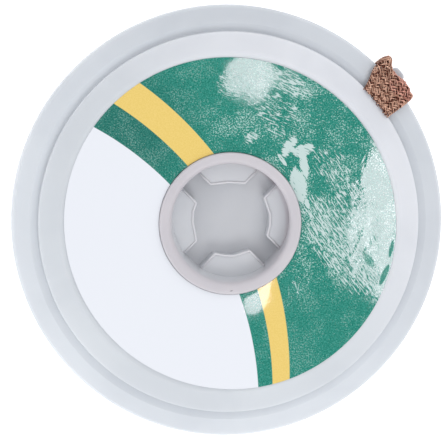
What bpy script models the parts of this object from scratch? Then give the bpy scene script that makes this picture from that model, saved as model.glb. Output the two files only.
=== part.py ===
"""Desoldering braid wound on a reel that turns in a round case of two shells.

Metres, +Z up. The case lies flat on z = 0, and the reel's axis is the Z axis.
"""

import math

import bmesh
import bpy
from mathutils import Matrix, Vector

# Shared
GAP = 0.0003
SEGMENTS = 96
MERGE_DISTANCE = 1e-7
SHARP_ANGLE = math.radians(30)

# Braid
BRAID_WIDTH = 0.0035
BRAID_THICKNESS = 0.0007
BRAID_LENGTH = 1.5

# Reel
CORE_RADIUS = 0.0092
FLANGE_THICKNESS = 0.0008
HUB_RADIUS = 0.0082
HUB_PROUD = 0.0004
WELL_RADIUS = 0.0067
WELL_DEPTH = 0.0030
WEB_THICKNESS = 0.0012
POCKET_DEPTH = 0.0022
POCKET_HALF_SIDE = 0.00415
POCKET_SIDE_DISH = 0.00015
ARM_WIDTH = 0.00275
ARM_END_WALL = 0.00015
RING_OUTER_ROUND = 0.0004
RING_INNER_ROUND = 0.0009

# Case
FACE_WALL = 0.0014
DRUM_WALL = 0.00105
CHAMBER_CLEARANCE = 0.00035
CHAMBER_TAPER = 0.00025
SHOULDER_WIDTH = 0.0022
SHOULDER_DROP = 0.0010
STEP_DROP = 0.0008
RIM_WIDTH = 0.0030
RIM_FLAT = 0.0008
RIM_DROP = 0.0008
RIM_WALL = 0.0012
RIM_ROOF = 0.0012
LIP_WIDTH = 0.0005
LIP_HEIGHT = 0.0006

# Label
LABEL_THICKNESS = 0.00015
LABEL_MARGIN = 0.0005

# Free end of the braid
TAIL_ANGLE = math.radians(39.2)
TAIL_END_WIDTH = 0.00435
TAIL_FOLD_WIDTH = 0.0057
TAIL_LIFT = 0.0004
TAIL_RUN_OUT = 0.00005
TAIL_COIL_CLEARANCE = 0.0005
FOLD_STEPS = 8
EXIT_LIP_ANGLE = math.radians(41.3)
EXIT_LIP_WIDTH = 0.0014
EXIT_LIP_REACH = 0.0020

# Worked out from the values above
JOURNAL_RADIUS = HUB_RADIUS + GAP
COIL_BORE = CORE_RADIUS + GAP
COIL_RADIUS = math.sqrt(COIL_BORE**2 + BRAID_LENGTH * BRAID_THICKNESS / math.pi)
CHAMBER_RADIUS = COIL_RADIUS + CHAMBER_CLEARANCE
DRUM_RADIUS = CHAMBER_RADIUS + DRUM_WALL
CASE_RADIUS = DRUM_RADIUS + RIM_WIDTH
FACE_RADIUS = DRUM_RADIUS - SHOULDER_WIDTH
LABEL_RADIUS = FACE_RADIUS - LABEL_MARGIN
LABEL_RECESS = LABEL_THICKNESS + GAP

FLANGE_BOTTOM = FACE_WALL + GAP
COIL_BOTTOM = FLANGE_BOTTOM + FLANGE_THICKNESS + GAP
COIL_TOP = COIL_BOTTOM + BRAID_WIDTH
CASE_HEIGHT = COIL_TOP + GAP + FACE_WALL
SEAM = CASE_HEIGHT / 2
HUB_TOP = CASE_HEIGHT + HUB_PROUD
LOBE_TOP = HUB_TOP - WELL_DEPTH
POCKET_FLOOR = LOBE_TOP - POCKET_DEPTH

# Heights above the seam plane, the same in both shells
FACE_LEVEL = CASE_HEIGHT / 2
CEILING_LEVEL = FACE_LEVEL - FACE_WALL
DRUM_EDGE_LEVEL = FACE_LEVEL - SHOULDER_DROP
RIM_TOP_LEVEL = DRUM_EDGE_LEVEL - STEP_DROP
RIM_EDGE_LEVEL = RIM_TOP_LEVEL - RIM_DROP
RIM_ROOF_LEVEL = RIM_TOP_LEVEL - RIM_ROOF
SEAM_LEVEL = GAP / 2


def clear_scene():
    for obj in list(bpy.data.objects):
        bpy.data.objects.remove(obj, do_unlink=True)


def finish(name, colour, roughness, metallic=0.0):
    material = bpy.data.materials.new(name)
    material.use_nodes = True
    shader = material.node_tree.nodes["Principled BSDF"]
    shader.inputs["Base Color"].default_value = (*colour, 1.0)
    shader.inputs["Roughness"].default_value = roughness
    shader.inputs["Metallic"].default_value = metallic
    return material


def add_object(name, bm, material=None, location=(0.0, 0.0, 0.0), parent=None):
    """An object of the mesh in bm, smooth between its sharp edges."""
    bmesh.ops.recalc_face_normals(bm, faces=bm.faces)
    mesh = bpy.data.meshes.new(name)
    bm.to_mesh(mesh)
    bm.free()
    mesh.shade_smooth()
    mesh.set_sharp_from_angle(angle=SHARP_ANGLE)
    if material:
        mesh.materials.append(material)
    obj = bpy.data.objects.new(name, mesh)
    obj.location = location
    obj.parent = parent
    bpy.context.collection.objects.link(obj)
    return obj


def turned(outline, closed):
    """The outline's (radius, height) points turned about Z. An open outline starts and ends on the axis."""
    bm = bmesh.new()
    verts = [bm.verts.new((radius, 0.0, height)) for radius, height in outline]
    edges = [bm.edges.new(pair) for pair in zip(verts, verts[1:])]
    if closed:
        edges.append(bm.edges.new((verts[-1], verts[0])))
    bmesh.ops.spin(
        bm,
        geom=verts + edges,
        cent=(0, 0, 0),
        axis=(0, 0, 1),
        angle=2 * math.pi,
        steps=SEGMENTS,
        use_merge=True,
    )
    bmesh.ops.remove_doubles(bm, verts=bm.verts, dist=MERGE_DISTANCE)
    return bm


def extruded(plan, bottom, top):
    """A prism of the plan's (x, y) points between two heights."""
    bm = bmesh.new()
    face = bm.faces.new([bm.verts.new((x, y, bottom)) for x, y in plan])
    made = bmesh.ops.extrude_face_region(bm, geom=[face])
    raised = [item for item in made["geom"] if isinstance(item, bmesh.types.BMVert)]
    bmesh.ops.translate(bm, verts=raised, vec=(0, 0, top - bottom))
    return bm


def block(x_range, width, z_range, angle):
    """A block along a radius at the angle, width across it."""
    half = width / 2
    plan = [(x_range[0], -half), (x_range[1], -half), (x_range[1], half), (x_range[0], half)]
    bm = extruded(plan, *z_range)
    bmesh.ops.rotate(bm, verts=bm.verts, cent=(0, 0, 0), matrix=Matrix.Rotation(angle, 3, "Z"))
    return bm


def combine(obj, tool, operation):
    """A Boolean that keeps the tool in the scene as a wire guide."""
    tool.hide_render = True
    tool.display_type = "WIRE"
    modifier = obj.modifiers.new(f"{operation.lower()}_{tool.name}", "BOOLEAN")
    modifier.operation = operation
    modifier.object = tool
    modifier.solver = "EXACT"


def quarter_round(centre, radius, start_degrees, steps=3):
    """Points of a clockwise quarter circle, in (radius, height)."""
    angles = [math.radians(start_degrees - 90 * i / steps) for i in range(steps + 1)]
    return [(centre[0] + radius * math.cos(a), centre[1] + radius * math.sin(a)) for a in angles]


def shell_outside():
    """The case's outside from the label to the seam, as (radius, height above the seam plane)."""
    return [
        (FACE_RADIUS, FACE_LEVEL),
        (DRUM_RADIUS, DRUM_EDGE_LEVEL),
        (DRUM_RADIUS, RIM_TOP_LEVEL),
        (DRUM_RADIUS + RIM_FLAT, RIM_TOP_LEVEL),
        (CASE_RADIUS, RIM_EDGE_LEVEL),
        (CASE_RADIUS, SEAM_LEVEL),
    ]


def chamber_outline():
    """The chamber's corner and ceiling, from the rim inwards to the reel's journal."""
    return [
        (CHAMBER_RADIUS + CHAMBER_TAPER, RIM_ROOF_LEVEL),
        (CHAMBER_RADIUS, CEILING_LEVEL),
        (JOURNAL_RADIUS, CEILING_LEVEL),
    ]


def make_upper_shell(material, window):
    wall = CASE_RADIUS - RIM_WALL
    recess = FACE_LEVEL - LABEL_RECESS
    outline = [
        (JOURNAL_RADIUS, recess),
        (LABEL_RADIUS + GAP, recess),
        (LABEL_RADIUS + GAP, FACE_LEVEL),
        *shell_outside(),
        (wall, SEAM_LEVEL),
        (wall, RIM_ROOF_LEVEL),
        *chamber_outline(),
    ]
    shell = add_object("upper_shell", turned(outline, True), material, (0, 0, SEAM))
    combine(shell, window, "DIFFERENCE")


def make_lower_shell(material, window, exit_lip):
    """The lower shell has a lip that fits inside the upper shell's rim wall."""
    lip_outside = CASE_RADIUS - RIM_WALL - GAP
    lip_inside = lip_outside - LIP_WIDTH
    outline = [
        (JOURNAL_RADIUS, FACE_LEVEL),
        *shell_outside(),
        (lip_outside, SEAM_LEVEL),
        (lip_outside, -LIP_HEIGHT),
        (lip_inside, -LIP_HEIGHT),
        (lip_inside, RIM_ROOF_LEVEL),
        *chamber_outline(),
    ]
    turned_over = [(radius, -level) for radius, level in outline]
    shell = add_object("lower_shell", turned(turned_over, True), material, (0, 0, SEAM))
    combine(shell, exit_lip, "UNION")
    combine(shell, window, "DIFFERENCE")


def make_window():
    """The slot through both rims that the braid leaves by."""
    half_height = BRAID_THICKNESS / 2 + GAP
    width = TAIL_FOLD_WIDTH + 2 * GAP
    reach = (COIL_RADIUS, CASE_RADIUS + RIM_WALL)
    slot = block(reach, width, (-half_height, half_height), TAIL_ANGLE)
    return add_object("window_cutter", slot, location=(0, 0, SEAM))


def make_exit_lip():
    """The small lip under the braid where it leaves the rim."""
    reach = (CASE_RADIUS - RIM_WALL / 2, CASE_RADIUS + EXIT_LIP_REACH)
    heights = (-RIM_EDGE_LEVEL, -BRAID_THICKNESS / 2 - GAP)
    lip = block(reach, EXIT_LIP_WIDTH, heights, EXIT_LIP_ANGLE)
    return add_object("exit_lip_guide", lip, location=(0, 0, SEAM))


def pocket_plan():
    """The pocket between the four lobes: a square with dished sides and an arm along each diagonal."""
    half_arm = ARM_WIDTH / 2
    arm_reach = math.sqrt((WELL_RADIUS - ARM_END_WALL) ** 2 - half_arm**2)
    corner = POCKET_HALF_SIDE - ARM_WIDTH / math.sqrt(2)
    diagonal = Matrix.Rotation(math.pi / 4, 2)
    arm_end = [diagonal @ Vector((arm_reach, side * half_arm)) for side in (-1, 1)]
    quarter = [
        Vector((POCKET_HALF_SIDE + POCKET_SIDE_DISH, 0)),
        Vector((POCKET_HALF_SIDE, corner)),
        *arm_end,
        Vector((corner, POCKET_HALF_SIDE)),
    ]
    turns = [Matrix.Rotation(i * math.pi / 2, 2) for i in range(4)]
    return [tuple(turn @ point) for turn in turns for point in quarter]


def make_reel(material, axis):
    outer_centre = (HUB_RADIUS - RING_OUTER_ROUND, HUB_TOP - RING_OUTER_ROUND)
    inner_centre = (WELL_RADIUS + RING_INNER_ROUND, HUB_TOP - RING_INNER_ROUND)
    ring_outer = quarter_round(outer_centre, RING_OUTER_ROUND, 90)
    ring_inner = quarter_round(inner_centre, RING_INNER_ROUND, 180)
    web_bottom = POCKET_FLOOR - WEB_THICKNESS
    outline = [
        (0, LOBE_TOP),
        (WELL_RADIUS, LOBE_TOP),
        *ring_inner,
        *ring_outer,
        (HUB_RADIUS, COIL_TOP),
        (CORE_RADIUS, COIL_TOP),
        (CORE_RADIUS, COIL_BOTTOM - GAP),
        (COIL_RADIUS, COIL_BOTTOM - GAP),
        (COIL_RADIUS, FLANGE_BOTTOM),
        (HUB_RADIUS, FLANGE_BOTTOM),
        (HUB_RADIUS, GAP),
        (WELL_RADIUS, GAP),
        (WELL_RADIUS, web_bottom),
        (0, web_bottom),
    ]
    reel = add_object("reel", turned(outline, False), material, parent=axis)
    pocket = add_object("pocket_cutter", extruded(pocket_plan(), POCKET_FLOOR, HUB_TOP), parent=axis)
    combine(reel, pocket, "DIFFERENCE")


def make_coil(material, axis):
    outline = [
        (COIL_BORE, COIL_TOP),
        (COIL_RADIUS, COIL_TOP),
        (COIL_RADIUS, COIL_BOTTOM),
        (COIL_BORE, COIL_BOTTOM),
    ]
    add_object("braid_coil", turned(outline, True), material, parent=axis)


def make_label(material):
    outline = [
        (JOURNAL_RADIUS, LABEL_THICKNESS),
        (LABEL_RADIUS, LABEL_THICKNESS),
        (LABEL_RADIUS, 0),
        (JOURNAL_RADIUS, 0),
    ]
    add_object("label", turned(outline, True), material, (0, 0, CASE_HEIGHT - LABEL_THICKNESS))


def tail_stations():
    """The tail's middle line from inside the case to its cut end: (radius, height, half width)."""
    half_thickness = BRAID_THICKNESS / 2
    fold_radius = CASE_RADIUS + TAIL_RUN_OUT
    top_at_edge = RIM_EDGE_LEVEL + TAIL_LIFT + half_thickness
    top_at_drum = RIM_TOP_LEVEL + TAIL_LIFT + half_thickness
    bend = top_at_edge / 2
    half_fold, half_end = TAIL_FOLD_WIDTH / 2, TAIL_END_WIDTH / 2
    half_knee = half_end + (half_fold - half_end) * (RIM_FLAT / RIM_WIDTH)
    stations = [(COIL_RADIUS + TAIL_COIL_CLEARANCE, 0.0, BRAID_WIDTH / 2)]
    for i in range(FOLD_STEPS + 1):
        angle = math.pi * (i / FOLD_STEPS - 0.5)
        stations.append((fold_radius + bend * math.cos(angle), bend + bend * math.sin(angle), half_fold))
    stations.append((DRUM_RADIUS + RIM_FLAT, top_at_drum, half_knee))
    stations.append((DRUM_RADIUS + GAP, top_at_drum, half_end))
    return stations


def make_tail(material):
    """A flat strip that follows its stations, folded up over the rim."""
    stations = tail_stations()
    middle = [Vector((radius, 0, height)) for radius, height, _ in stations]
    bm = bmesh.new()
    rings = []
    for i, (point, station) in enumerate(zip(middle, stations)):
        before = (point - middle[i - 1]).normalized() if i else (middle[1] - point).normalized()
        after = (middle[i + 1] - point).normalized() if i + 1 < len(middle) else before
        along = (before + after).normalized()
        side = Vector((-along.z, 0, along.x)) * (BRAID_THICKNESS / 2 / along.dot(after))
        across = Vector((0, station[2], 0))
        corners = (point - side - across, point - side + across, point + side + across, point + side - across)
        rings.append([bm.verts.new(corner) for corner in corners])
    for low, high in zip(rings, rings[1:]):
        for i in range(4):
            bm.faces.new((low[i], low[(i + 1) % 4], high[(i + 1) % 4], high[i]))
    bm.faces.new(rings[0])
    bm.faces.new(list(reversed(rings[-1])))
    bmesh.ops.rotate(bm, verts=bm.verts, cent=(0, 0, 0), matrix=Matrix.Rotation(TAIL_ANGLE, 3, "Z"))
    add_object("braid_tail", bm, material, (0, 0, SEAM))


def main():
    clear_scene()
    case_plastic = finish("case_plastic", (0.72, 0.74, 0.77), 0.32)
    reel_plastic = finish("reel_plastic", (0.60, 0.58, 0.60), 0.40)
    label_film = finish("label_film", (0.12, 0.42, 0.32), 0.28)
    copper = finish("braid_copper", (0.72, 0.38, 0.25), 0.38, metallic=1.0)

    reel_axis = bpy.data.objects.new("reel_axis", None)
    bpy.context.collection.objects.link(reel_axis)
    window = make_window()
    exit_lip = make_exit_lip()

    make_lower_shell(case_plastic, window, exit_lip)
    make_upper_shell(case_plastic, window)
    make_reel(reel_plastic, reel_axis)
    make_coil(copper, reel_axis)
    make_tail(copper)
    make_label(label_film)


main()
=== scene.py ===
"""Looks of a desoldering braid in its round case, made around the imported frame. Metres, +Z up."""

import math
import random

import bmesh
import bpy
import numpy as np
from mathutils import Matrix, Vector


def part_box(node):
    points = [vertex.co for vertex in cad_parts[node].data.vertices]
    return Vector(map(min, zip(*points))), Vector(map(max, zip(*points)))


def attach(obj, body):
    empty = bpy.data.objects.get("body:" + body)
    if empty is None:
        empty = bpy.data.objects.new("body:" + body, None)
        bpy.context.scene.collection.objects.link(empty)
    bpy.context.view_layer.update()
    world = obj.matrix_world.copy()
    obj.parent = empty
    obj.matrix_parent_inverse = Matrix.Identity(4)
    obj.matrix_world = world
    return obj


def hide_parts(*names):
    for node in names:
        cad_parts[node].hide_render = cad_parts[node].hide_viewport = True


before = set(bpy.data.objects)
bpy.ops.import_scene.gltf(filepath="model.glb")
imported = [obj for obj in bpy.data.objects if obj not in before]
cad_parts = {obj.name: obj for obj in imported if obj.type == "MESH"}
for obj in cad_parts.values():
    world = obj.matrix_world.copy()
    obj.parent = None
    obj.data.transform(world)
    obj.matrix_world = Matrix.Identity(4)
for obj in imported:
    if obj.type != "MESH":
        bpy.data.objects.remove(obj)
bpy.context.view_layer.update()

MM = 0.001

# Sizes from the frame
CASE_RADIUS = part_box("lower_shell")[1][0]
CASE_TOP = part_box("upper_shell")[1][2]
SEAM = CASE_TOP / 2
LABEL_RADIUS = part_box("label")[1][0]
COIL_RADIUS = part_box("braid_coil")[1][0]
COIL_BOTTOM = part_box("braid_coil")[0][2]
COIL_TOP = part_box("braid_coil")[1][2]
HUB_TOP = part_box("reel")[1][2]
HUB_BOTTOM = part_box("reel")[0][2]

# How finely round shapes are divided, and the angle in degrees past which an edge is sharp
ARC_STEP = math.radians(12)
CASE_STEPS = 224
HUB_STEPS = 160
LABEL_RINGS, LABEL_STEPS = 40, 240
COIL_STEPS = 72
SHARP_DEGREES = 35

# Case profile, as in the CAD
HOLE_RADIUS = 8.5 * MM
FACE_RADIUS = 19.8 * MM
DRUM_RADIUS = CASE_RADIUS - 3.0 * MM
RIM_FLAT = 0.8 * MM
GROOVE_WIDTH = 1.0 * MM
GROOVE_DEPTH = 0.12 * MM
FACE_WALL = 1.4 * MM
SHOULDER_DROP = 1.0 * MM
STEP_DROP = 0.8 * MM
RIM_DROP = 0.8 * MM
RIM_WALL = 1.2 * MM
RIM_ROOF = 1.2 * MM
RIM_UNDERSIDE = SEAM - SHOULDER_DROP - STEP_DROP - RIM_ROOF
CHAMBER_RADIUS = 20.95 * MM
CHAMBER_TAPER = 0.25 * MM
SEAM_GAP = 0.10 * MM
LOCATING_LIP_CLEARANCE = 0.2 * MM
LOCATING_LIP_WIDTH = 0.5 * MM
LOCATING_LIP_HEIGHT = 0.6 * MM

# Label
LABEL_SINK = 0.14 * MM
LABEL_THICKNESS = 0.12 * MM
LABEL_BED = (18.9 * MM, 19.5 * MM)
LABEL_SHIFT = (0.07 * MM, -0.06 * MM)
LABEL_OVAL = 0.19 * MM
LABEL_OVAL_ANGLE = math.radians(137)
LABEL_BORE_CLEARANCE = 0.05 * MM
LABEL_EDGE_CLEARANCE = 0.13 * MM
FILM_WAVE = 0.005 * MM
FILM_WAVE_SPANS = (2.1 * MM, 2.9 * MM)

# Reel
HUB_RADIUS = 8.2 * MM
CORE_RADIUS = 9.2 * MM
FLANGE_THICKNESS = 0.8 * MM
COIL_CLEARANCE = 0.3 * MM
WELL_RADIUS = 6.7 * MM
WELL_DEPTH = 3.0 * MM
WELL_SHIFT = Vector((0.34, 0.36)) * MM
LOBE_TOP = HUB_TOP - WELL_DEPTH
POCKET_FLOOR = LOBE_TOP - 2.2 * MM
WEB_THICKNESS = 1.2 * MM
BEAD_RADIUS = 0.13 * MM
BEAD_INSET = 0.10 * MM

# Braid, the slot that it leaves by and the small lip outside it
BRAID_THICKNESS = 0.7 * MM
TAIL_ANGLE = math.radians(39.2)
TAIL_LIFT = 0.4 * MM
SLOT_START, SLOT_END = 20.7 * MM, 26.2 * MM
SLOT_HALF_WIDTH = 3.1 * MM
SLOT_CLEARANCE = 0.25 * MM
SLOT_EDGE = 0.12 * MM
EXIT_LIP_ANGLE = math.radians(40.0)
EXIT_LIP_START, EXIT_LIP_END = 24.2 * MM, 26.70 * MM
EXIT_LIP_HALF_WIDTH = 0.85 * MM
EXIT_LIP_DEPTH = 1.4 * MM
EXIT_LIP_CLEARANCE = 0.3 * MM


# Mesh helpers

def filleted(corners, closed=True):
    """The (x, y, radius) corners as points, each corner rounded with an arc of its radius."""
    points = []
    count = len(corners)
    for i, (x, y, radius) in enumerate(corners):
        here = Vector((x, y))
        if radius <= 0 or (not closed and i in (0, count - 1)):
            points.append(here)
            continue
        back = Vector(corners[i - 1][:2]) - here
        ahead = Vector(corners[(i + 1) % count][:2]) - here
        half = back.angle(ahead) / 2
        cut = min(radius / math.tan(half), 0.48 * back.length, 0.48 * ahead.length)
        radius = cut * math.tan(half)
        centre = here + (back.normalized() + ahead.normalized()).normalized() * (radius / math.sin(half))
        arm = here + back.normalized() * cut - centre
        turn = arm.angle_signed(here + ahead.normalized() * cut - centre)
        steps = max(2, math.ceil(abs(turn) / ARC_STEP))
        for k in range(steps + 1):
            points.append(centre + Matrix.Rotation(-turn * k / steps, 2) @ arm)
    return [(p.x, p.y) for p in points]


def turned(profile, steps, closed=True):
    """(vertices, faces) of the (radius, height) profile turned about Z. Points on the axis are one vertex."""
    verts, rings, faces = [], [], []
    for radius, height in profile:
        if radius < 1e-9:
            rings.append([len(verts)] * steps)
            verts.append((0.0, 0.0, height))
            continue
        rings.append(list(range(len(verts), len(verts) + steps)))
        for k in range(steps):
            angle = 2 * math.pi * k / steps
            verts.append((radius * math.cos(angle), radius * math.sin(angle), height))
    pairs = list(zip(rings, rings[1:]))
    if closed:
        pairs.append((rings[-1], rings[0]))
    for low, high in pairs:
        for k in range(steps):
            n = (k + 1) % steps
            loop = [low[k], low[n], high[n], high[k]]
            face = [v for j, v in enumerate(loop) if v != loop[j - 1]]
            if len(face) > 2:
                faces.append(face)
    return verts, faces


def new_object(name, verts, faces, sharp=None):
    """An object at the origin with an outward-facing mesh, smooth or sharp past an angle in degrees."""
    mesh = bpy.data.meshes.new(name)
    mesh.from_pydata([tuple(v) for v in verts], [], faces)
    bm = bmesh.new()
    bm.from_mesh(mesh)
    bmesh.ops.recalc_face_normals(bm, faces=bm.faces)
    bm.to_mesh(mesh)
    bm.free()
    mesh.shade_smooth()
    if sharp is not None:
        mesh.set_sharp_from_angle(angle=math.radians(sharp))
    obj = bpy.data.objects.new(name, mesh)
    bpy.context.scene.collection.objects.link(obj)
    return obj


def prism(name, plan, bottom, top, edge):
    """A prism of the plan's points with its edges rounded."""
    count = len(plan)
    verts = [(x, y, bottom) for x, y in plan] + [(x, y, top) for x, y in plan]
    faces = [list(range(count)), list(range(count, 2 * count))]
    faces += [[i, (i + 1) % count, (i + 1) % count + count, i + count] for i in range(count)]
    obj = new_object(name, verts, faces)
    bevel = obj.modifiers.new("edge", "BEVEL")
    bevel.width = edge
    bevel.segments = 3
    bevel.limit_method = "ANGLE"
    bevel.angle_limit = math.radians(40)
    return obj


def combine(obj, tool, operation):
    """Applies a Boolean of the tool to obj and removes the tool."""
    modifier = obj.modifiers.new("combine", "BOOLEAN")
    modifier.operation = operation
    modifier.solver = "EXACT"
    modifier.object = tool
    graph = bpy.context.evaluated_depsgraph_get()
    made = bpy.data.meshes.new_from_object(obj.evaluated_get(graph))
    obj.modifiers.clear()
    old = obj.data
    obj.data = made
    made.name = obj.name
    bpy.data.meshes.remove(old)
    bpy.data.objects.remove(tool, do_unlink=True)


def finish_smooth(obj):
    obj.data.shade_smooth()
    obj.data.set_sharp_from_angle(angle=math.radians(SHARP_DEGREES))


def place(obj, body, material, slot, *nodes):
    """Gives a piece its material and body, and hides the CAD nodes that it stands for; the slot is not used.
    """
    obj.data.materials.clear()
    obj.data.materials.append(material)
    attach(obj, body)
    if nodes:
        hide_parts(*nodes)


def polar(radius, angle, height=0.0):
    return Vector((radius * math.cos(angle), radius * math.sin(angle), height))


# Materials

class Shader:
    """A material with one Principled shader, and short ways to add nodes to it."""

    def __init__(self, name):
        self.material = bpy.data.materials.new(name)
        self.material.use_nodes = True
        self.tree = self.material.node_tree
        self.principled = self.tree.nodes["Principled BSDF"]
        self.coords = self.add("ShaderNodeTexCoord").outputs["Object"]

    def add(self, kind, **settings):
        node = self.tree.nodes.new(kind)
        for name, value in settings.items():
            setattr(node, name, value)
        return node

    def link(self, source, target):
        self.tree.links.new(source, target)

    def set(self, name, value):
        socket = self.principled.inputs[name]
        if isinstance(value, bpy.types.NodeSocket):
            self.link(value, socket)
        else:
            socket.default_value = (*value, 1.0) if socket.type == "RGBA" else value

    def math(self, operation, a, b):
        node = self.add("ShaderNodeMath", operation=operation)
        for socket, value in zip(node.inputs, (a, b)):
            if isinstance(value, bpy.types.NodeSocket):
                self.link(value, socket)
            else:
                socket.default_value = value
        return node.outputs[0]

    def noise(self, scale, detail=2.0, roughness=0.5, vector=None, distortion=0.0):
        node = self.add("ShaderNodeTexNoise")
        node.inputs["Scale"].default_value = scale
        node.inputs["Detail"].default_value = detail
        node.inputs["Roughness"].default_value = roughness
        node.inputs["Distortion"].default_value = distortion
        self.link(vector or self.coords, node.inputs["Vector"])
        return node.outputs["Fac"]

    def steps(self, value, low, high, to_low=0.0, to_high=1.0):
        node = self.add("ShaderNodeMapRange", interpolation_type="SMOOTHSTEP")
        self.link(value, node.inputs["Value"])
        for name, number in (("From Min", low), ("From Max", high), ("To Min", to_low), ("To Max", to_high)):
            node.inputs[name].default_value = number
        return node.outputs["Result"]

    def mix(self, factor, a, b):
        node = self.add("ShaderNodeMix", data_type="RGBA")
        sockets = {s.identifier: s for s in node.inputs}
        wanted = (("Factor_Float", factor), ("A_Color", a), ("B_Color", b))
        for name, value in wanted:
            if isinstance(value, bpy.types.NodeSocket):
                self.link(value, sockets[name])
            else:
                sockets[name].default_value = value if name == "Factor_Float" else (*value, 1.0)
        return next(s for s in node.outputs if s.identifier == "Result_Color")

    def bump(self, height, distance, strength=1.0, below=None):
        node = self.add("ShaderNodeBump")
        if isinstance(strength, bpy.types.NodeSocket):
            self.link(strength, node.inputs["Strength"])
        else:
            node.inputs["Strength"].default_value = strength
        node.inputs["Distance"].default_value = distance
        self.link(height, node.inputs["Height"])
        if below is not None:
            self.link(below, node.inputs["Normal"])
        return node.outputs["Normal"]

    def turned_coords(self, degrees, scale, middle=(0.0, 0.0)):
        """The object's coordinates as seen from an ellipse: moved, turned and divided by its sizes."""
        node = self.add("ShaderNodeMapping", vector_type="TEXTURE")
        node.inputs["Location"].default_value = (middle[0], middle[1], 0.0)
        node.inputs["Rotation"].default_value = (0.0, 0.0, math.radians(degrees))
        node.inputs["Scale"].default_value = (*scale, 1.0)
        self.link(self.coords, node.inputs["Vector"])
        return node.outputs[0]

    def patch(self, middle, halves, degrees, soft=0.3):
        """1 inside an ellipse in the XY plane, given in millimetres, and 0 outside it."""
        local = self.turned_coords(degrees, [h * MM for h in halves], [m * MM for m in middle])
        length = self.add("ShaderNodeVectorMath", operation="LENGTH")
        self.link(local, length.inputs[0])
        return self.steps(length.outputs["Value"], 1.0 - soft, 1.0 + soft, 1.0, 0.0)

    def circle_distance(self, x, y, radius):
        """How far a point lies outside a circle in the XY plane, in metres."""
        offset = self.add("ShaderNodeVectorMath", operation="SUBTRACT")
        self.link(self.coords, offset.inputs[0])
        offset.inputs[1].default_value = (x, y, 0.0)
        flat = self.add("ShaderNodeVectorMath", operation="MULTIPLY")
        self.link(offset.outputs[0], flat.inputs[0])
        flat.inputs[1].default_value = (1.0, 1.0, 0.0)
        length = self.add("ShaderNodeVectorMath", operation="LENGTH")
        self.link(flat.outputs[0], length.inputs[0])
        return self.math("SUBTRACT", length.outputs["Value"], radius)


# Painted light on the case's plastic: its rim is painted paler inside this wide circle and its face lighter
# and warmer outside it, over this distance
PAINTED_LIGHT_CIRCLE = (-60 * MM, -60 * MM, 84 * MM)
PAINTED_LIGHT_FADE = 19 * MM
# How far the change of tint reaches inside and outside its radius
TINT_BLEND = (-0.15 * MM, 0.25 * MM)


def milky_plastic(
    name, light, dark, roughness,
    inner_radius=0.0, inner_painted_tint=None, painted_light_inside=None, painted_light_outside=None, scuff=None,
):
    """Moulded translucent plastic with slow flow marks, fine speckle and a slightly uneven gloss.

    Inside a radius its tint may differ: painted light and shade, which makes the case's face lighter than its
    rim and the reel's well lighter and bluer, lifting its shade. The painted light inside is lighter and
    warmer towards +X +Y, and the painted light outside is paler towards -X -Y, as if lit from those sides.
    A scuff is a small dark mark: its middle and half sizes in millimetres, and its direction.
    """
    s = Shader(name)
    flow = s.steps(s.noise(90, 3, 0.5, distortion=0.6), 0.3, 0.7)
    colour = s.mix(flow, dark, light)
    if inner_radius:
        def tinted(tint):
            return s.mix(flow, *(tuple(c * t for c, t in zip(shade, tint)) for shade in (dark, light)))
        # Painted light and shade: the tint inside the radius
        inside = tinted(inner_painted_tint)
        if painted_light_inside:
            # Painted light: lighter and warmer inside towards +X +Y, paler outside towards -X -Y
            painted_light_side = s.steps(s.circle_distance(*PAINTED_LIGHT_CIRCLE), 0, PAINTED_LIGHT_FADE)
            inside = s.mix(painted_light_side, inside, tinted(painted_light_inside))
            colour = s.mix(painted_light_side, tinted(painted_light_outside), colour)
        outside = s.steps(s.circle_distance(0, 0, inner_radius), *TINT_BLEND)
        colour = s.mix(outside, inside, colour)
    if scuff:
        colour = s.mix(s.patch(*scuff, soft=0.5), colour, tuple(0.45 * c for c in dark))
    s.set("Base Color", colour)
    s.set("Roughness", s.steps(s.noise(400, 4), 0.3, 0.7, roughness - 0.05, roughness + 0.06))
    s.set("Subsurface Weight", 0.35)
    s.set("Subsurface Radius", (1.0, 0.95, 0.9))
    s.set("Subsurface Scale", 0.0012)
    s.set("IOR", 1.49)
    grain = s.bump(s.noise(5200, 2), 0.000010, 0.35)
    s.set("Normal", s.bump(s.noise(260, 3), 0.00004, 0.30, below=grain))
    return s.material


# Centres and radii of the circles between the label's colours
WHITE_CIRCLE = (-33.2 * MM, -20.82 * MM, 36.5 * MM)
INNER_STRIPE_CIRCLE = (-34.2 * MM, -19.25 * MM, 39.13 * MM)
OUTER_STRIPE_CIRCLE = (-34.6 * MM, -17.5 * MM, 41.5 * MM)
PRINT_EDGE = 0.04 * MM
# Centres and radii of where the green has painted shade, and where the film is wrinkled, has painted glints
# and bubbles, and is taut
SHADED_GREEN_CIRCLE = (-12.0 * MM, 10.5 * MM, 2.0 * MM)
WRINKLED_CIRCLE = (10.5 * MM, -1.0 * MM, 4.0 * MM)
GLINT_AND_BUBBLE_CIRCLE = (9.0 * MM, 5.0 * MM, 10.0 * MM)
TAUT_CIRCLE = (3.0 * MM, -9.0 * MM, 2.2 * MM)

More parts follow.
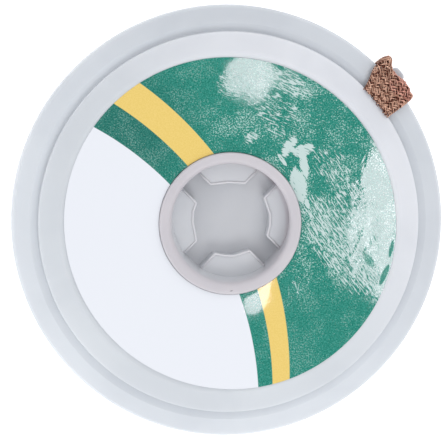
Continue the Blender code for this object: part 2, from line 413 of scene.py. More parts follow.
# Where pale streaks are painted: painted glare of the film, which also stands for air under it. By the
# streaks' direction in degrees: middle and half sizes of each place in millimetres, its own direction, and
# how closely the streaks lie
GLARE_AND_SILVER_STREAKS = {
    -55: (
        ((12.7, -2.6), (6.6, 2.7), -55, 0.15),
        ((15.0, 0.8), (4.6, 2.2), -60, 0.12),
        ((11.8, 6.4), (2.7, 1.7), -50, 0.09),
        ((17.2, 9.0), (2.4, 0.8), -62, 0.12),
        ((7.9, 4.3), (2.0, 0.90), -78, 0.34),
        ((8.5, 6.9), (1.7, 0.50), -80, 0.34),
        ((8.9, 2.2), (0.6, 0.28), -75, 0.34),
        ((6.0, 7.3), (0.9, 0.22), -55, 0.30),
    ),
    -25: (
        ((6.4, 16.3), (3.0, 1.3), -28, 0.15),
        ((5.0, 13.2), (3.2, 1.7), -25, 0.09),
        ((0.2, 16.0), (1.6, 1.6), 0, 0.10),
        ((2.4, 9.9), (0.95, 0.6), 35, 0.16),
        ((5.2, 11.0), (1.3, 0.9), -40, 0.09),
        ((6.8, 8.8), (1.4, 0.62), 58, 0.28),
        ((8.4, 8.4), (1.3, 0.62), 15, 0.28),
    ),
}
# Where the film is matt and lies close, which leaves dark gaps in its glare
MATT_SPOTS = (
    ((16.1, -4.4), (0.85, 0.42), -55),
    ((18.7, -3.1), (0.95, 0.20), 78),
    ((17.9, -6.1), (1.15, 0.28), 66),
)


def glare_silvering_streaks(s):
    """How much of the print is hidden under painted glare streaks, which also stand for air under the film.
    """
    glare_and_silvering = 0.0
    for direction, places in GLARE_AND_SILVER_STREAKS.items():
        closeness = 0.0
        for middle, halves, degrees, most in places:
            here = s.math("MULTIPLY", s.patch(middle, halves, degrees), most)
            closeness = s.math("MAXIMUM", here, closeness)
        lines = s.noise(6500, 2, 0.6, vector=s.turned_coords(direction, (5.5, 1.0)))
        streaks = s.steps(s.math("ADD", lines, closeness), 0.61, 0.71)
        streaks = s.math("MULTIPLY", streaks, s.steps(closeness, 0.0, 0.05))
        glare_and_silvering = s.math("MAXIMUM", streaks, glare_and_silvering)
    return glare_and_silvering


def label_print():
    """Glossy wrinkled film over a white, green and yellow print, with painted shade on the green towards the
    upper left, and painted glare streaks and glints where the film lies loose, which also stand for air under
    it.
    """
    s = Shader("label_print")
    grain = s.steps(s.noise(6500, 2, 0.6), 0.38, 0.62)
    # Painted shade: the green is darker towards the upper left
    painted_shade = s.steps(s.circle_distance(*SHADED_GREEN_CIRCLE), 0, 9 * MM, 1.0, 0.0)
    dark_grain = s.mix(painted_shade, (0.010, 0.172, 0.125), (0.008, 0.126, 0.096))
    light_grain = s.mix(painted_shade, (0.044, 0.286, 0.228), (0.040, 0.212, 0.174))
    green = s.mix(grain, dark_grain, light_grain)
    zones = s.steps(s.noise(420, 2, 0.5), 0.35, 0.65, -0.05, 0.06)
    # Painted glints: pale flecks on the green, most towards the upper right, which also stand for air bubbles
    # under the film
    glints_and_bubbles = s.steps(s.math("ADD", s.noise(6000, 2, 0.7), zones), 0.55, 0.67)
    glint_and_bubble_reach = s.steps(s.circle_distance(*GLINT_AND_BUBBLE_CIRCLE), 0, 6 * MM, 1.0, 0.35)
    green = s.mix(s.math("MULTIPLY", glints_and_bubbles, glint_and_bubble_reach), green, (0.42, 0.62, 0.57))
    gaps = 0.0
    for spot in MATT_SPOTS:
        gaps = s.math("MAXIMUM", s.patch(*spot, soft=0.5), gaps)
    # Painted glare: pale streaks over the green, which also stand for air under the film, kept out of the
    # matt spots
    glare_and_silvering = s.math("MULTIPLY", glare_silvering_streaks(s), s.math("SUBTRACT", 1.0, gaps))
    green = s.mix(glare_and_silvering, green, (0.50, 0.62, 0.60))
    yellow = s.mix(grain, (0.76, 0.55, 0.15), (0.80, 0.59, 0.19))
    white = (0.765, 0.785, 0.830)
    colour = green
    fields = ((OUTER_STRIPE_CIRCLE, yellow), (INNER_STRIPE_CIRCLE, green), (WHITE_CIRCLE, white))
    for circle, inside in fields:
        edge = s.steps(s.circle_distance(*circle), -PRINT_EDGE, PRINT_EDGE)
        colour = s.mix(edge, inside, colour)
    s.set("Base Color", colour)
    s.set("Roughness", s.steps(s.math("MAXIMUM", glare_and_silvering, gaps), 0.2, 0.8, 0.02, 0.60))
    s.set("IOR", 1.52)
    loose = s.steps(s.circle_distance(*WRINKLED_CIRCLE), 0, 9 * MM, 1.0, 0.12)
    ruffled = s.steps(s.circle_distance(*TAUT_CIRCLE), 0, 3 * MM, 0.15, 1.0)
    loose = s.math("MULTIPLY", loose, ruffled)
    wrinkle = s.bump(s.noise(230, 3, 0.6, distortion=0.6), 0.000019, loose)
    lines = s.noise(2200, 2, 0.6, vector=s.turned_coords(-55, (3.0, 1.0)))
    streak = s.bump(lines, 0.0000018, loose, below=wrinkle)
    s.set("Normal", s.bump(s.noise(3400, 2, 0.6), 0.0000009, ruffled, below=streak))
    return s.material


# Where the braid's copper is redder: centre and radius
REDDISH_CIRCLE = (20.9 * MM, 15.8 * MM, 1.0 * MM)


def copper_wire():
    """Fine copper wires, each with its own tint, with painted shade where they dive under the others."""
    s = Shader("copper_wire")
    tint = s.add("ShaderNodeAttribute", attribute_name="tint").outputs["Fac"]
    depth = s.add("ShaderNodeAttribute", attribute_name="lift").outputs["Fac"]
    blotch = s.steps(s.noise(3200, 2, 0.6), 0.35, 0.65)
    shade = s.math("ADD", s.math("MULTIPLY", tint, 0.6), s.math("MULTIPLY", blotch, 0.4))
    patchy = s.steps(s.noise(1300, 2), 0.35, 0.65, -0.7 * MM, 0.7 * MM)
    reddish = s.steps(s.math("ADD", s.circle_distance(*REDDISH_CIRCLE), patchy), 0, 1.4 * MM, 0.8, 0.12)
    dull = s.mix(reddish, (0.36, 0.19, 0.125), (0.42, 0.15, 0.105))
    shiny = s.mix(reddish, (0.88, 0.59, 0.44), (0.95, 0.50, 0.42))
    # Painted shade: a wire is dark where its lift is low, diving under the others
    s.set("Base Color", s.mix(depth, (0.17, 0.055, 0.035), s.mix(shade, dull, shiny)))
    s.set("Metallic", 0.85)
    s.set("Roughness", s.steps(s.noise(1800, 2), 0.3, 0.7, 0.26, 0.44))
    return s.material


def wound_copper():
    """The wound braid: the same copper with its weave in the relief, and painted shade in the weave's low
    bands.
    """
    s = Shader("wound_copper")
    weave = s.add("ShaderNodeTexWave", wave_type="BANDS", bands_direction="DIAGONAL")
    weave.inputs["Scale"].default_value = 1400
    weave.inputs["Distortion"].default_value = 2.0
    weave.inputs["Detail"].default_value = 2.0
    s.link(s.coords, weave.inputs["Vector"])
    # Painted shade and highlight: darker in the weave's low bands, lighter on its high ones
    s.set("Base Color", s.mix(weave.outputs["Fac"], (0.38, 0.18, 0.12), (0.80, 0.48, 0.34)))
    s.set("Metallic", 0.9)
    s.set("Roughness", 0.42)
    s.set("Normal", s.bump(weave.outputs["Fac"], 0.00008, 0.8))
    return s.material


# Case

def shell_outside():
    """The shell's outside as (radius, height above the seam plane, corner radius), face first."""
    drum = SEAM - SHOULDER_DROP
    rim = drum - STEP_DROP
    return [
        (FACE_RADIUS, SEAM - 0.06 * MM, 1.5 * MM),
        (DRUM_RADIUS, drum, 0.14 * MM),
        (DRUM_RADIUS, rim - GROOVE_DEPTH, 0.10 * MM),
        (DRUM_RADIUS + GROOVE_WIDTH, rim - 0.04 * MM, 0.25 * MM),
        (CASE_RADIUS - 0.25 * MM, rim - RIM_DROP + 0.05 * MM, 0.35 * MM),
        (CASE_RADIUS, rim - RIM_DROP - 0.35 * MM, 0.25 * MM),
        (CASE_RADIUS, SEAM_GAP / 2, 0.08 * MM),
    ]


def shell_inside():
    """The chamber's wall and roof, as the outside is given, ending at the hub's hole."""
    return [
        (CHAMBER_RADIUS + CHAMBER_TAPER, RIM_UNDERSIDE, 0.1 * MM),
        (CHAMBER_RADIUS, SEAM - FACE_WALL, 0.2 * MM),
        (HOLE_RADIUS, SEAM - FACE_WALL, 0.05 * MM),
    ]


def slot_tool(name):
    """The slot through the rim that the braid leaves by."""
    half_height = BRAID_THICKNESS / 2 + SLOT_CLEARANCE
    plan = [
        (SLOT_START, -SLOT_HALF_WIDTH),
        (SLOT_END, -SLOT_HALF_WIDTH),
        (SLOT_END, SLOT_HALF_WIDTH),
        (SLOT_START, SLOT_HALF_WIDTH),
    ]
    tool = prism(name, plan, SEAM - half_height, SEAM + half_height, SLOT_EDGE)
    tool.rotation_euler = (0, 0, TAIL_ANGLE)
    bpy.context.view_layer.update()
    return tool


def make_upper_case(material):
    wall = CASE_RADIUS - RIM_WALL
    corners = [
        (HOLE_RADIUS, SEAM - LABEL_SINK, 0.05 * MM),
        (LABEL_BED[0], SEAM - LABEL_SINK, 0.10 * MM),
        (LABEL_BED[1], SEAM - 0.03 * MM, 0.20 * MM),
        *shell_outside(),
        (wall, SEAM_GAP / 2, 0.0),
        (wall, RIM_UNDERSIDE, 0.1 * MM),
        *shell_inside(),
    ]
    profile = [(radius, SEAM + level) for radius, level in filleted(corners)]
    case = new_object("upper_case", *turned(profile, CASE_STEPS))
    combine(case, slot_tool("upper_slot"), "DIFFERENCE")
    finish_smooth(case)
    place(case, "case", material, "case_plastic", "upper_shell")


def make_lower_case(material):
    lip_outside = CASE_RADIUS - RIM_WALL - LOCATING_LIP_CLEARANCE
    lip_inside = lip_outside - LOCATING_LIP_WIDTH
    corners = [
        (HOLE_RADIUS, SEAM, 0.15 * MM),
        *shell_outside(),
        (lip_outside, SEAM_GAP / 2, 0.0),
        (lip_outside, -LOCATING_LIP_HEIGHT, 0.1 * MM),
        (lip_inside, -LOCATING_LIP_HEIGHT, 0.1 * MM),
        (lip_inside, RIM_UNDERSIDE, 0.0),
        *shell_inside(),
    ]
    profile = [(radius, SEAM - level) for radius, level in filleted(corners)]
    case = new_object("lower_case", *turned(profile, CASE_STEPS))
    combine(case, exit_lip_tool(), "UNION")
    combine(case, slot_tool("lower_slot"), "DIFFERENCE")
    finish_smooth(case)
    place(case, "case", material, "case_plastic", "lower_shell")


def exit_lip_tool():
    """The small rounded lip under the braid outside the slot."""
    half = EXIT_LIP_HALF_WIDTH
    corners = [
        (EXIT_LIP_START, -half, 0.0),
        (EXIT_LIP_END, -half, 0.5 * MM),
        (EXIT_LIP_END, half, 0.5 * MM),
        (EXIT_LIP_START, half, 0.0),
    ]
    top = SEAM - BRAID_THICKNESS / 2 - EXIT_LIP_CLEARANCE
    tool = prism("exit_lip", filleted(corners), SEAM - EXIT_LIP_DEPTH, top, SLOT_EDGE)
    tool.rotation_euler = (0, 0, EXIT_LIP_ANGLE)
    bpy.context.view_layer.update()
    return tool


# Label

def label_point(share, angle):
    """A point of the label in plan, from its inner edge (0) to its slightly oval, shifted outer edge (1)."""
    inner = HUB_RADIUS + LABEL_BORE_CLEARANCE
    outer = LABEL_RADIUS - LABEL_EDGE_CLEARANCE + LABEL_OVAL * math.cos(2 * (angle - LABEL_OVAL_ANGLE))
    x, y, _ = polar(inner + (outer - inner) * share, angle)
    return x + share * LABEL_SHIFT[0], y + share * LABEL_SHIFT[1]


def make_label(material):
    """A thin disc whose top is a fine grid of rings, gently wavy as film on glue is."""
    rings, steps = LABEL_RINGS, LABEL_STEPS
    top = CASE_TOP - LABEL_SINK + LABEL_THICKNESS
    verts, faces = [], []
    for i in range(rings + 1):
        fade = min(1.0, min(i, rings - i) / 2)
        for k in range(steps):
            x, y = label_point(i / rings, math.tau * k / steps)
            wave = math.sin(x / FILM_WAVE_SPANS[0] + 0.9) * math.sin(y / FILM_WAVE_SPANS[1] - 0.4 * x / MM)
            verts.append((x, y, top + fade * FILM_WAVE * wave))
    for share in (0, 1):
        for k in range(steps):
            verts.append((*label_point(share, math.tau * k / steps), top - LABEL_THICKNESS))
    under_inner, under_outer = (rings + 1) * steps, (rings + 2) * steps
    for k in range(steps):
        n = (k + 1) % steps
        for i in range(rings):
            faces.append((i * steps + k, (i + 1) * steps + k, (i + 1) * steps + n, i * steps + n))
        faces.append((rings * steps + k, under_outer + k, under_outer + n, rings * steps + n))
        faces.append((under_outer + k, under_inner + k, under_inner + n, under_outer + n))
        faces.append((under_inner + k, k, n, under_inner + n))
    label = new_object("printed_label", verts, faces, sharp=40)
    place(label, "case", material, "label_film", "label")


# Reel

def hub_profile():
    """The reel's (radius, height) outline without its lobes, from the well's floor round to its underside."""
    web_bottom = POCKET_FLOOR - WEB_THICKNESS
    flange_top = COIL_BOTTOM - COIL_CLEARANCE
    corners = [
        (0, POCKET_FLOOR, 0),
        (WELL_RADIUS, POCKET_FLOOR, 0.12 * MM),
        (WELL_RADIUS + 0.15 * MM, HUB_TOP, 0.60 * MM),
        (HUB_RADIUS, HUB_TOP, 0.24 * MM),
        (HUB_RADIUS, COIL_TOP, 0.05 * MM),
        (CORE_RADIUS, COIL_TOP, 0.1 * MM),
        (CORE_RADIUS, flange_top, 0.1 * MM),
        (COIL_RADIUS, flange_top, 0.15 * MM),
        (COIL_RADIUS, flange_top - FLANGE_THICKNESS, 0.15 * MM),
        (HUB_RADIUS, flange_top - FLANGE_THICKNESS, 0.05 * MM),
        (HUB_RADIUS, HUB_BOTTOM, 0.35 * MM),
        (WELL_RADIUS, HUB_BOTTOM, 0.5 * MM),
        (WELL_RADIUS, web_bottom, 0.3 * MM),
        (0, web_bottom, 0),
    ]
    return filleted(corners, closed=False)


# Each lobe's inner edge from the hub's middle: first corner, waist, second corner, in turning order,
# and how far its two ends lie from the diagonals, in millimetres
LOBES = (
    (4.15, 4.52, 3.82, 1.45, 1.00),
    (4.00, 4.12, 3.88, 1.66, 1.04),
    (3.94, 4.36, 3.94, 1.46, 0.94),
    (4.00, 4.30, 3.70, 1.50, 1.06),
)
LOBE_ARC_STEPS = 14
# How far a lobe runs into the well's wall, and its bead, which stops short of it
LOBE_REACH = 0.35 * MM
BEAD_REACH = -0.05 * MM


def lobe_plan(lobe, inset, reach):
    """One lobe turned to the +X side: an arc at the well's wall and a waisted inner edge."""
    first, waist, second, start, end = (size * MM + inset for size in lobe)
    outer = WELL_RADIUS + reach
    low = -math.pi / 4 + math.asin(start / outer)
    high = math.pi / 4 - math.asin(end / outer)
    arc = [polar(outer, high + (low - high) * k / LOBE_ARC_STEPS) for k in range(LOBE_ARC_STEPS + 1)]
    low_corner = -(first - start * math.sqrt(2))
    high_corner = second - end * math.sqrt(2)
    inner = [
        (first, low_corner, 0.30 * MM),
        (waist - 0.06 * MM, low_corner * 0.45, 0.8 * MM),
        (waist, high_corner * 0.15, 1.6 * MM),
        (second, high_corner, 0.30 * MM),
    ]
    return filleted([(p.x, p.y, 0) for p in arc] + inner)


def shift_well(obj):
    """Moves the well sideways in its ring, more with depth, as the moulding's core sits off the middle."""
    reach = WELL_RADIUS + 0.75 * MM
    lowest = POCKET_FLOOR - 0.5 * MM
    for vert in obj.data.vertices:
        if vert.co.xy.length < reach and vert.co.z > lowest:
            depth = min(1.0, max(0.0, (HUB_TOP - vert.co.z) / WELL_DEPTH))
            vert.co.x += WELL_SHIFT.x * depth
            vert.co.y += WELL_SHIFT.y * depth


def make_hub(material):
    hub = new_object("hub", *turned(hub_profile(), HUB_STEPS, closed=False))
    for k, lobe in enumerate(LOBES):
        plan = lobe_plan(lobe, 0.0, LOBE_REACH)
        block = prism("lobe", plan, POCKET_FLOOR - 0.2 * MM, LOBE_TOP, 0.10 * MM)
        block.rotation_euler = (0, 0, k * math.pi / 2)
        bpy.context.view_layer.update()
        combine(hub, block, "UNION")
    shift_well(hub)
    finish_smooth(hub)
    place(hub, "reel_and_braid", material, "reel_plastic", "reel")


def tube(points, radius, sides=8):
    """(vertices, faces) of a tube with closed ends along the points."""
    verts, faces = [], []
    count = len(points)
    for i, point in enumerate(points):
        along = (points[min(i + 1, count - 1)] - points[max(i - 1, 0)]).normalized()
        side = along.cross(Vector((0, 0, 1)))
        if side.length < 1e-6:
            side = Vector((1, 0, 0))
        side.normalize()
        up = side.cross(along)
        for k in range(sides):
            angle = math.tau * k / sides
            verts.append(point + (side * math.cos(angle) + up * math.sin(angle)) * radius)
    for i in range(count - 1):
        for k in range(sides):
            n = (k + 1) % sides
            faces.append((i * sides + k, i * sides + n, (i + 1) * sides + n, (i + 1) * sides + k))
    faces.append(tuple(range(sides)))
    faces.append(tuple(range((count - 1) * sides, count * sides)))
    return verts, faces


def joined(name, parts):
    """One object of several (vertices, faces) parts."""
    verts, faces = [], []
    for part_verts, part_faces in parts:
        start = len(verts)
        verts += [tuple(v) for v in part_verts]
        faces += [[i + start for i in face] for face in part_faces]
    return new_object(name, verts, faces)


def make_lobe_beads(material):
    """The raised bead along each lobe's inner edge, at the shifted place of the well's depth."""
    parts = []
    shift = Vector((*WELL_SHIFT, 0))
    for k, lobe in enumerate(LOBES):
        turn = Matrix.Rotation(k * math.pi / 2, 3, "Z")
        plan = [Vector((x, y, LOBE_TOP)) for x, y in lobe_plan(lobe, BEAD_INSET, BEAD_REACH)]
        edge = plan[LOBE_ARC_STEPS:] + plan[:1]
        parts.append(tube([turn @ p + shift for p in edge], BEAD_RADIUS))
    beads = joined("lobe_beads", parts)
    place(beads, "reel_and_braid", material, "reel_plastic")


# Braid

# How far the fold's outside is from the axis, before it bulges
FOLD_OUTSIDE = 25.95 * MM
FOLD_STEPS = 12


def tail_line():
    """The tail's middle line as (radius, height, sideways offset, half width) from inside the case."""
    half = BRAID_THICKNESS / 2
    rim_edge = CASE_TOP - SHOULDER_DROP - STEP_DROP - RIM_DROP
    rim_top = rim_edge + RIM_DROP
    lift = TAIL_LIFT - 0.15 * MM + half
    top = rim_edge + lift
    bend = (top - SEAM) / 2
    fold = FOLD_OUTSIDE - half - bend
    stations = [(COIL_RADIUS + 0.55 * MM, SEAM, 0.0, 1.75 * MM), (23.0 * MM, SEAM, 0.1 * MM, 2.3 * MM)]
    for i in range(FOLD_STEPS + 1):
        angle = math.pi * (i / FOLD_STEPS - 0.5)
        radius, height = fold + bend * math.cos(angle), SEAM + bend + bend * math.sin(angle)
        stations.append((radius, height, 0.30 * MM, 2.85 * MM))
    stations.append((23.9 * MM, (top + rim_top + lift) / 2, 0.26 * MM, 2.72 * MM))
    stations.append((DRUM_RADIUS + RIM_FLAT, rim_top + lift, 0.03 * MM, 2.36 * MM))
    stations.append((DRUM_RADIUS + 0.30 * MM, rim_top + lift + 0.12 * MM, -0.03 * MM, 2.25 * MM))
    stations.append((DRUM_RADIUS - 0.25 * MM, rim_top + lift + 0.42 * MM, -0.07 * MM, 2.15 * MM))
    return stations


def even_line(stations, spacing):
    """The stations' four numbers at even distances along the line, smoothed, and those distances."""
    table = np.array(stations)
    gaps = np.hypot(*np.diff(table[:, :2], axis=0).T)
    at = np.r_[0, np.cumsum(gaps)]
    wanted = np.linspace(0, at[-1], int(at[-1] / spacing) + 1)
    line = np.array([np.interp(wanted, at, column) for column in table.T]).T
    kernel = np.ones(5) / 5
    smooth = np.array([np.convolve(np.pad(c, 2, mode="edge"), kernel, "valid") for c in line.T]).T
    smooth[0], smooth[-1] = line[0], line[-1]
    return smooth, wanted


# Bunches of wires each way round, wires in a bunch, and the wires' slant, around per along
CARRIERS = 24
WIRES = 2
WIRE_RADIUS = 0.056 * MM
WIRE_SIDES = 5
BRAID_SLOPE = 0.95
# How far the wires lie from the flat tube's mid-plane, and how far they dive and rise about that
LAYER_HEIGHT = 0.18 * MM
CROSSING_HEIGHT = 0.10 * MM
TUBE_GIRTH = 9.2 * MM
EDGE_ROUND = 0.25 * MM
# The share of each side of the tube that is its flat face
FACE_SHARE = 0.92
# The crushed fold: how far that spreads along, then for the ear at its +t edge and the bulge beside it
# the middle and the spread across, and how far each stands out, the ear sideways too
FOLD_SPREAD = 1.5 * MM
EAR_MIDDLE, EAR_SPREAD = 2.12 * MM, 0.64 * MM
EAR_OUT, EAR_ACROSS = 0.84 * MM, 0.26 * MM
BULGE_MIDDLE, BULGE_SPREAD, BULGE_OUT = -1.05 * MM, 1.0 * MM, 0.30 * MM


class FlatTube:
    """The flattened tube that the braid's wires wind round, along the tail's line."""

    def __init__(self):
        self.line, self.along = even_line(tail_line(), 0.10 * MM)
        tangent = np.gradient(self.line[:, :2], axis=0)
        tangent /= np.linalg.norm(tangent, axis=1)[:, None]
        self.normal = np.c_[-tangent[:, 1], tangent[:, 0]]
        self.fold_at = self.along[int(np.argmax(self.line[:, 0]))]

    def point(self, i, around, away):
        """The point at step i, at a distance around the tube from its +t edge, away from its mid-plane."""
        radius, height, shift, half_width = self.line[i]
        side = (around / TUBE_GIRTH * 2) % 2
        face = 1 if side < 1 else -1
        share = (side % 1) / FACE_SHARE
        if share < 1:
            across = face * (half_width - EDGE_ROUND) * (1 - 2 * share)
            away *= face
        else:
            swing = math.pi * (0.5 - (side % 1 - FACE_SHARE) / (1 - FACE_SHARE))
            across = -face * (half_width - EDGE_ROUND + EDGE_ROUND * math.cos(swing))
            away *= face * math.sin(swing)
        near_fold = math.exp(-(((self.along[i] - self.fold_at) / FOLD_SPREAD) ** 2))
        ear = near_fold * math.exp(-(((across - EAR_MIDDLE) / EAR_SPREAD) ** 2))
        bulge = near_fold * math.exp(-(((across - BULGE_MIDDLE) / BULGE_SPREAD) ** 2))
        radius += self.normal[i, 0] * away + EAR_OUT * ear + BULGE_OUT * bulge
        across += EAR_ACROSS * ear
        height += self.normal[i, 1] * away
        t = shift + across
        cos_a, sin_a = math.cos(TAIL_ANGLE), math.sin(TAIL_ANGLE)
        return Vector((radius * cos_a - t * sin_a, radius * sin_a + t * cos_a, height))


def make_tail(material):
    """Every wire of the free end: two sets of carriers wound opposite ways, crossing over and under."""
    rng = random.Random(11)
    shape = FlatTube()
    count = len(shape.line)
    spacing = TUBE_GIRTH / CARRIERS
    parts, tints, lifts = [], [], []
    for direction in (1, -1):
        for carrier in range(CARRIERS):
            carrier_tint = rng.uniform(0.25, 0.75)
            slip = rng.uniform(-0.45, 0.45)
            for wire in range(WIRES):
                lane = (wire - (WIRES - 1) / 2 + rng.uniform(-0.4, 0.4)) * spacing / (WIRES + 0.3)
                wander, phase = rng.uniform(0.03, 0.11) * MM, rng.uniform(0, math.tau)
                period = rng.uniform(0.40, 0.90) * MM
                bounce, beat = rng.uniform(0.0, 0.09) * MM, rng.uniform(0, math.tau)
                first = rng.randint(0, 3)
                last = count - rng.choice((0, 0, 0, 1, 1, 2, 3))
                points = []
                tint = carrier_tint + rng.uniform(-0.3, 0.3)
                for i in range(first, last):
                    v = shape.along[i]
                    travel = v * BRAID_SLOPE
                    around = carrier * spacing + direction * travel + lane
                    around += wander * math.sin(v / period + phase)
                    over = direction * math.sin(math.pi * (carrier + slip + direction * travel / spacing))
                    away = LAYER_HEIGHT + CROSSING_HEIGHT * over
                    away += bounce * math.sin(v / (0.35 * MM) + beat)
                    points.append(shape.point(i, around, away))
                    # The wire's lift over the others, which sets its painted shade where it dives under
                    lifts += [min(1.0, max(0.0, 0.55 + 0.75 * over))] * WIRE_SIDES
                parts.append(tube(points, WIRE_RADIUS, WIRE_SIDES))
                tints += [min(1.0, max(0.0, tint))] * (len(points) * WIRE_SIDES)
    tail = joined("braid_end", parts)
    for name, values in (("tint", tints), ("lift", lifts)):
        attribute = tail.data.attributes.new(name, "FLOAT", "POINT")
        attribute.data.foreach_set("value", np.array(values, np.float32))
    place(tail, "case", material, "braid_copper", "braid_tail")


def make_coil(material):
    """The braid wound from the core outwards, turn on turn, its edges a little uneven."""
    rng = random.Random(5)
    bore = CORE_RADIUS + COIL_CLEARANCE
    turns = int((COIL_RADIUS - bore) / BRAID_THICKNESS)
    pitch = (COIL_RADIUS - bore) / (turns + 1)
    thickness = pitch * 0.9
    verts, faces = [], []
    total = turns * COIL_STEPS + 1
    for i in range(total):
        angle = math.tau * i / COIL_STEPS
        radius = bore + pitch * i / COIL_STEPS + 0.02 * MM
        low = COIL_BOTTOM + rng.uniform(0, 0.08) * MM
        high = COIL_TOP - rng.uniform(0, 0.08) * MM
        for r, z in ((radius, low), (radius + thickness, low), (radius + thickness, high), (radius, high)):
            verts.append(polar(r, angle, z))
    for i in range(total - 1):
        for k in range(4):
            n = (k + 1) % 4
            faces.append((i * 4 + k, i * 4 + n, (i + 1) * 4 + n, (i + 1) * 4 + k))
    faces.append((0, 1, 2, 3))
    faces.append(tuple((total - 1) * 4 + k for k in range(4)))
    coil = new_object("wound_braid", verts, faces, sharp=40)
    place(coil, "reel_and_braid", material, "braid_copper", "braid_coil")


# Stage, light and camera

# The camera looks at the target from along the slope, and the scale is the photograph's at the target
VIEW_TARGET = Vector((-0.33, -0.42, 4.0)) * MM
VIEW_SLOPE = Vector((-0.0977, 0.0914, 1.0))
VIEW_DISTANCE = 400 * MM
PIXELS_PER_MM = 8.69
PHOTO_PIXELS = 448
SENSOR_MM = 36.0
CLIP_START = 10 * MM
FLOOR_HALF = 600 * MM


def make_stage():
    """A pale light table, so that the ground stays white right up to the case."""
    half = FLOOR_HALF
    verts = [(-half, -half, 0), (half, -half, 0), (half, half, 0), (-half, half, 0)]
    floor = new_object("floor", verts, [[0, 1, 2, 3]])
    s = Shader("pale_floor")
    s.set("Base Color", (0.94, 0.94, 0.94))
    s.set("Roughness", 0.9)
    s.set("Specular IOR Level", 0.1)
    s.set("Emission Color", (1.0, 1.0, 1.0))
    s.set("Emission Strength", 0.38)
    floor.data.materials.append(s.material)


def softbox(name, location, aim, size, watts, colour=(1, 1, 1), shape="RECTANGLE"):
    light = bpy.data.lights.new(name, "AREA")
    light.shape = shape
    light.size, light.size_y = size
    light.energy = watts
    light.color = colour
    obj = bpy.data.objects.new(name, light)
    obj.location = location
    obj.rotation_euler = (Vector(aim) - Vector(location)).to_track_quat("-Z", "Y").to_euler()
    bpy.context.scene.collection.objects.link(obj)


# Where the film mirrors a lamp to the camera: place on the label, and width and height there, both in
# millimetres, and brightness
GLARES = (
    ("right", (18.3, 0.0), (7.8, 18.6), 13.0),
    ("top", (2.4, 17.0), (5.0, 4.9), 12.5),
    ("rim", (6.9, 16.5), (5.0, 2.6), 2.5),
    ("stripe", (3.25, -8.2), (4.6, 4.8), 13.0),
)
LAMP_HEIGHT = 500 * MM
GLARE_COLOUR = (1.0, 0.85, 0.93)
# The dome's brightness away from the dark patch and in it, and the cosines of the angles between
DOME_STRENGTHS = (0.93, 0.15)
DARK_CONE = (math.cos(math.radians(14)), math.cos(math.radians(9)))
# Square soft boxes aimed at the part: name, place, side and power
SOFTBOXES = (
    ("fill", (0.07, -0.255, 0.424), 0.18, 0.42),
    ("side", (0.36, 0.36, 0.30), 0.30, 0.45),
    ("low_side", (-0.38, -0.34, 0.24), 0.30, 0.60),
)


def glare_lamps():
    """Small oval lamps overhead, each at the mirrored place of its patch of glare."""
    eye = VIEW_TARGET + VIEW_SLOPE * VIEW_DISTANCE
    spread = 1 + (LAMP_HEIGHT - CASE_TOP) / (eye.z - CASE_TOP)
    for name, place_on_label, size, radiance in GLARES:
        x, y = (spread * p * MM - (spread - 1) * e for p, e in zip(place_on_label, eye.xy))
        width, height = (spread * length * MM for length in size)
        watts = radiance * math.pi * (math.pi / 4 * width * height)
        location = (x, y, LAMP_HEIGHT)
        softbox("glare_" + name, location, (x, y, 0), (width, height), watts, GLARE_COLOUR, "ELLIPSE")


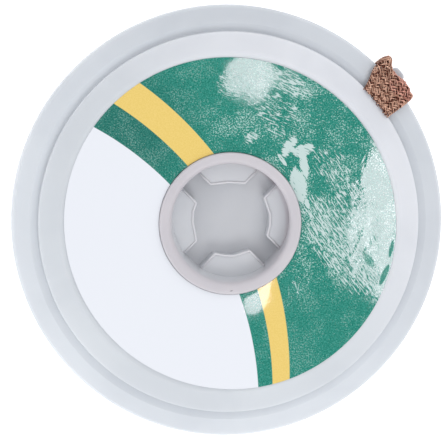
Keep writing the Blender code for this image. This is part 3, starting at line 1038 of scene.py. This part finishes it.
def make_dome():
    """An even pale dome, dark only in the patch overhead that the label mirrors to the camera."""
    world = bpy.data.worlds.new("studio")
    world.use_nodes = True
    tree = world.node_tree
    background = tree.nodes["Background"]
    background.inputs["Color"].default_value = (0.97, 0.98, 1.0, 1.0)
    towards = tree.nodes.new("ShaderNodeVectorMath")
    towards.operation = "DOT_PRODUCT"
    towards.inputs[1].default_value = Vector((-VIEW_SLOPE.x, -VIEW_SLOPE.y, 1.0)).normalized()
    tree.links.new(tree.nodes.new("ShaderNodeTexCoord").outputs["Generated"], towards.inputs[0])
    fade = tree.nodes.new("ShaderNodeMapRange")
    fade.inputs["From Min"].default_value, fade.inputs["From Max"].default_value = DARK_CONE
    fade.inputs["To Min"].default_value, fade.inputs["To Max"].default_value = DOME_STRENGTHS
    tree.links.new(towards.outputs["Value"], fade.inputs["Value"])
    tree.links.new(fade.outputs["Result"], background.inputs["Strength"])
    bpy.context.scene.world = world


def make_light():
    """The dome, the small lamps that the film mirrors, and the soft boxes."""
    make_dome()
    glare_lamps()
    for name, location, side, watts in SOFTBOXES:
        softbox(name, location, (0, 0, 0), (side, side), watts)


def make_camera():
    camera = bpy.data.cameras.new("camera")
    camera.sensor_width = SENSOR_MM
    camera.lens = PIXELS_PER_MM * VIEW_DISTANCE / MM / PHOTO_PIXELS * SENSOR_MM
    camera.clip_start = CLIP_START
    obj = bpy.data.objects.new("camera", camera)
    bpy.context.scene.collection.objects.link(obj)
    obj.location = VIEW_TARGET + VIEW_SLOPE * VIEW_DISTANCE
    ahead = (VIEW_TARGET - obj.location).normalized()
    right = ahead.cross(Vector((0, 1, 0))).normalized()
    up = right.cross(ahead)
    obj.rotation_euler = Matrix((right, up, -ahead)).transposed().to_euler()
    bpy.context.scene.camera = obj


make_camera()
make_stage()
make_light()
bpy.context.scene.view_settings.view_transform = "Standard"

# The case's tints are painted light and shade: the face lighter than the rim, lighter and warmer towards +X
# +Y, and the rim paler towards -X -Y
case_plastic = milky_plastic(
    "milky_case", (0.575, 0.602, 0.638), (0.535, 0.562, 0.600), 0.48,
    DRUM_RADIUS, (1.03, 1.03, 1.02), (1.18, 1.15, 1.14), (1.09, 1.09, 1.085),
)
# The reel's well is painted lighter and bluer, a painted lift of its shade
reel_plastic = milky_plastic(
    "milky_reel", (0.56, 0.535, 0.56), (0.52, 0.50, 0.53), 0.45,
    WELL_RADIUS, (1.13, 1.20, 1.185), scuff=((0.1, -7.75), (0.16, 0.06), 12),
)
# The beads are a lighter copy of the reel's plastic: a painted highlight along the lobes' edges
bead_highlight_plastic = milky_plastic("milky_bead_painted_highlight", (0.78, 0.77, 0.79), (0.72, 0.71, 0.74), 0.40)
make_upper_case(case_plastic)
make_lower_case(case_plastic)
make_label(label_print())
make_hub(reel_plastic)
make_lobe_beads(bead_highlight_plastic)
make_tail(copper_wire())
make_coil(wound_copper())
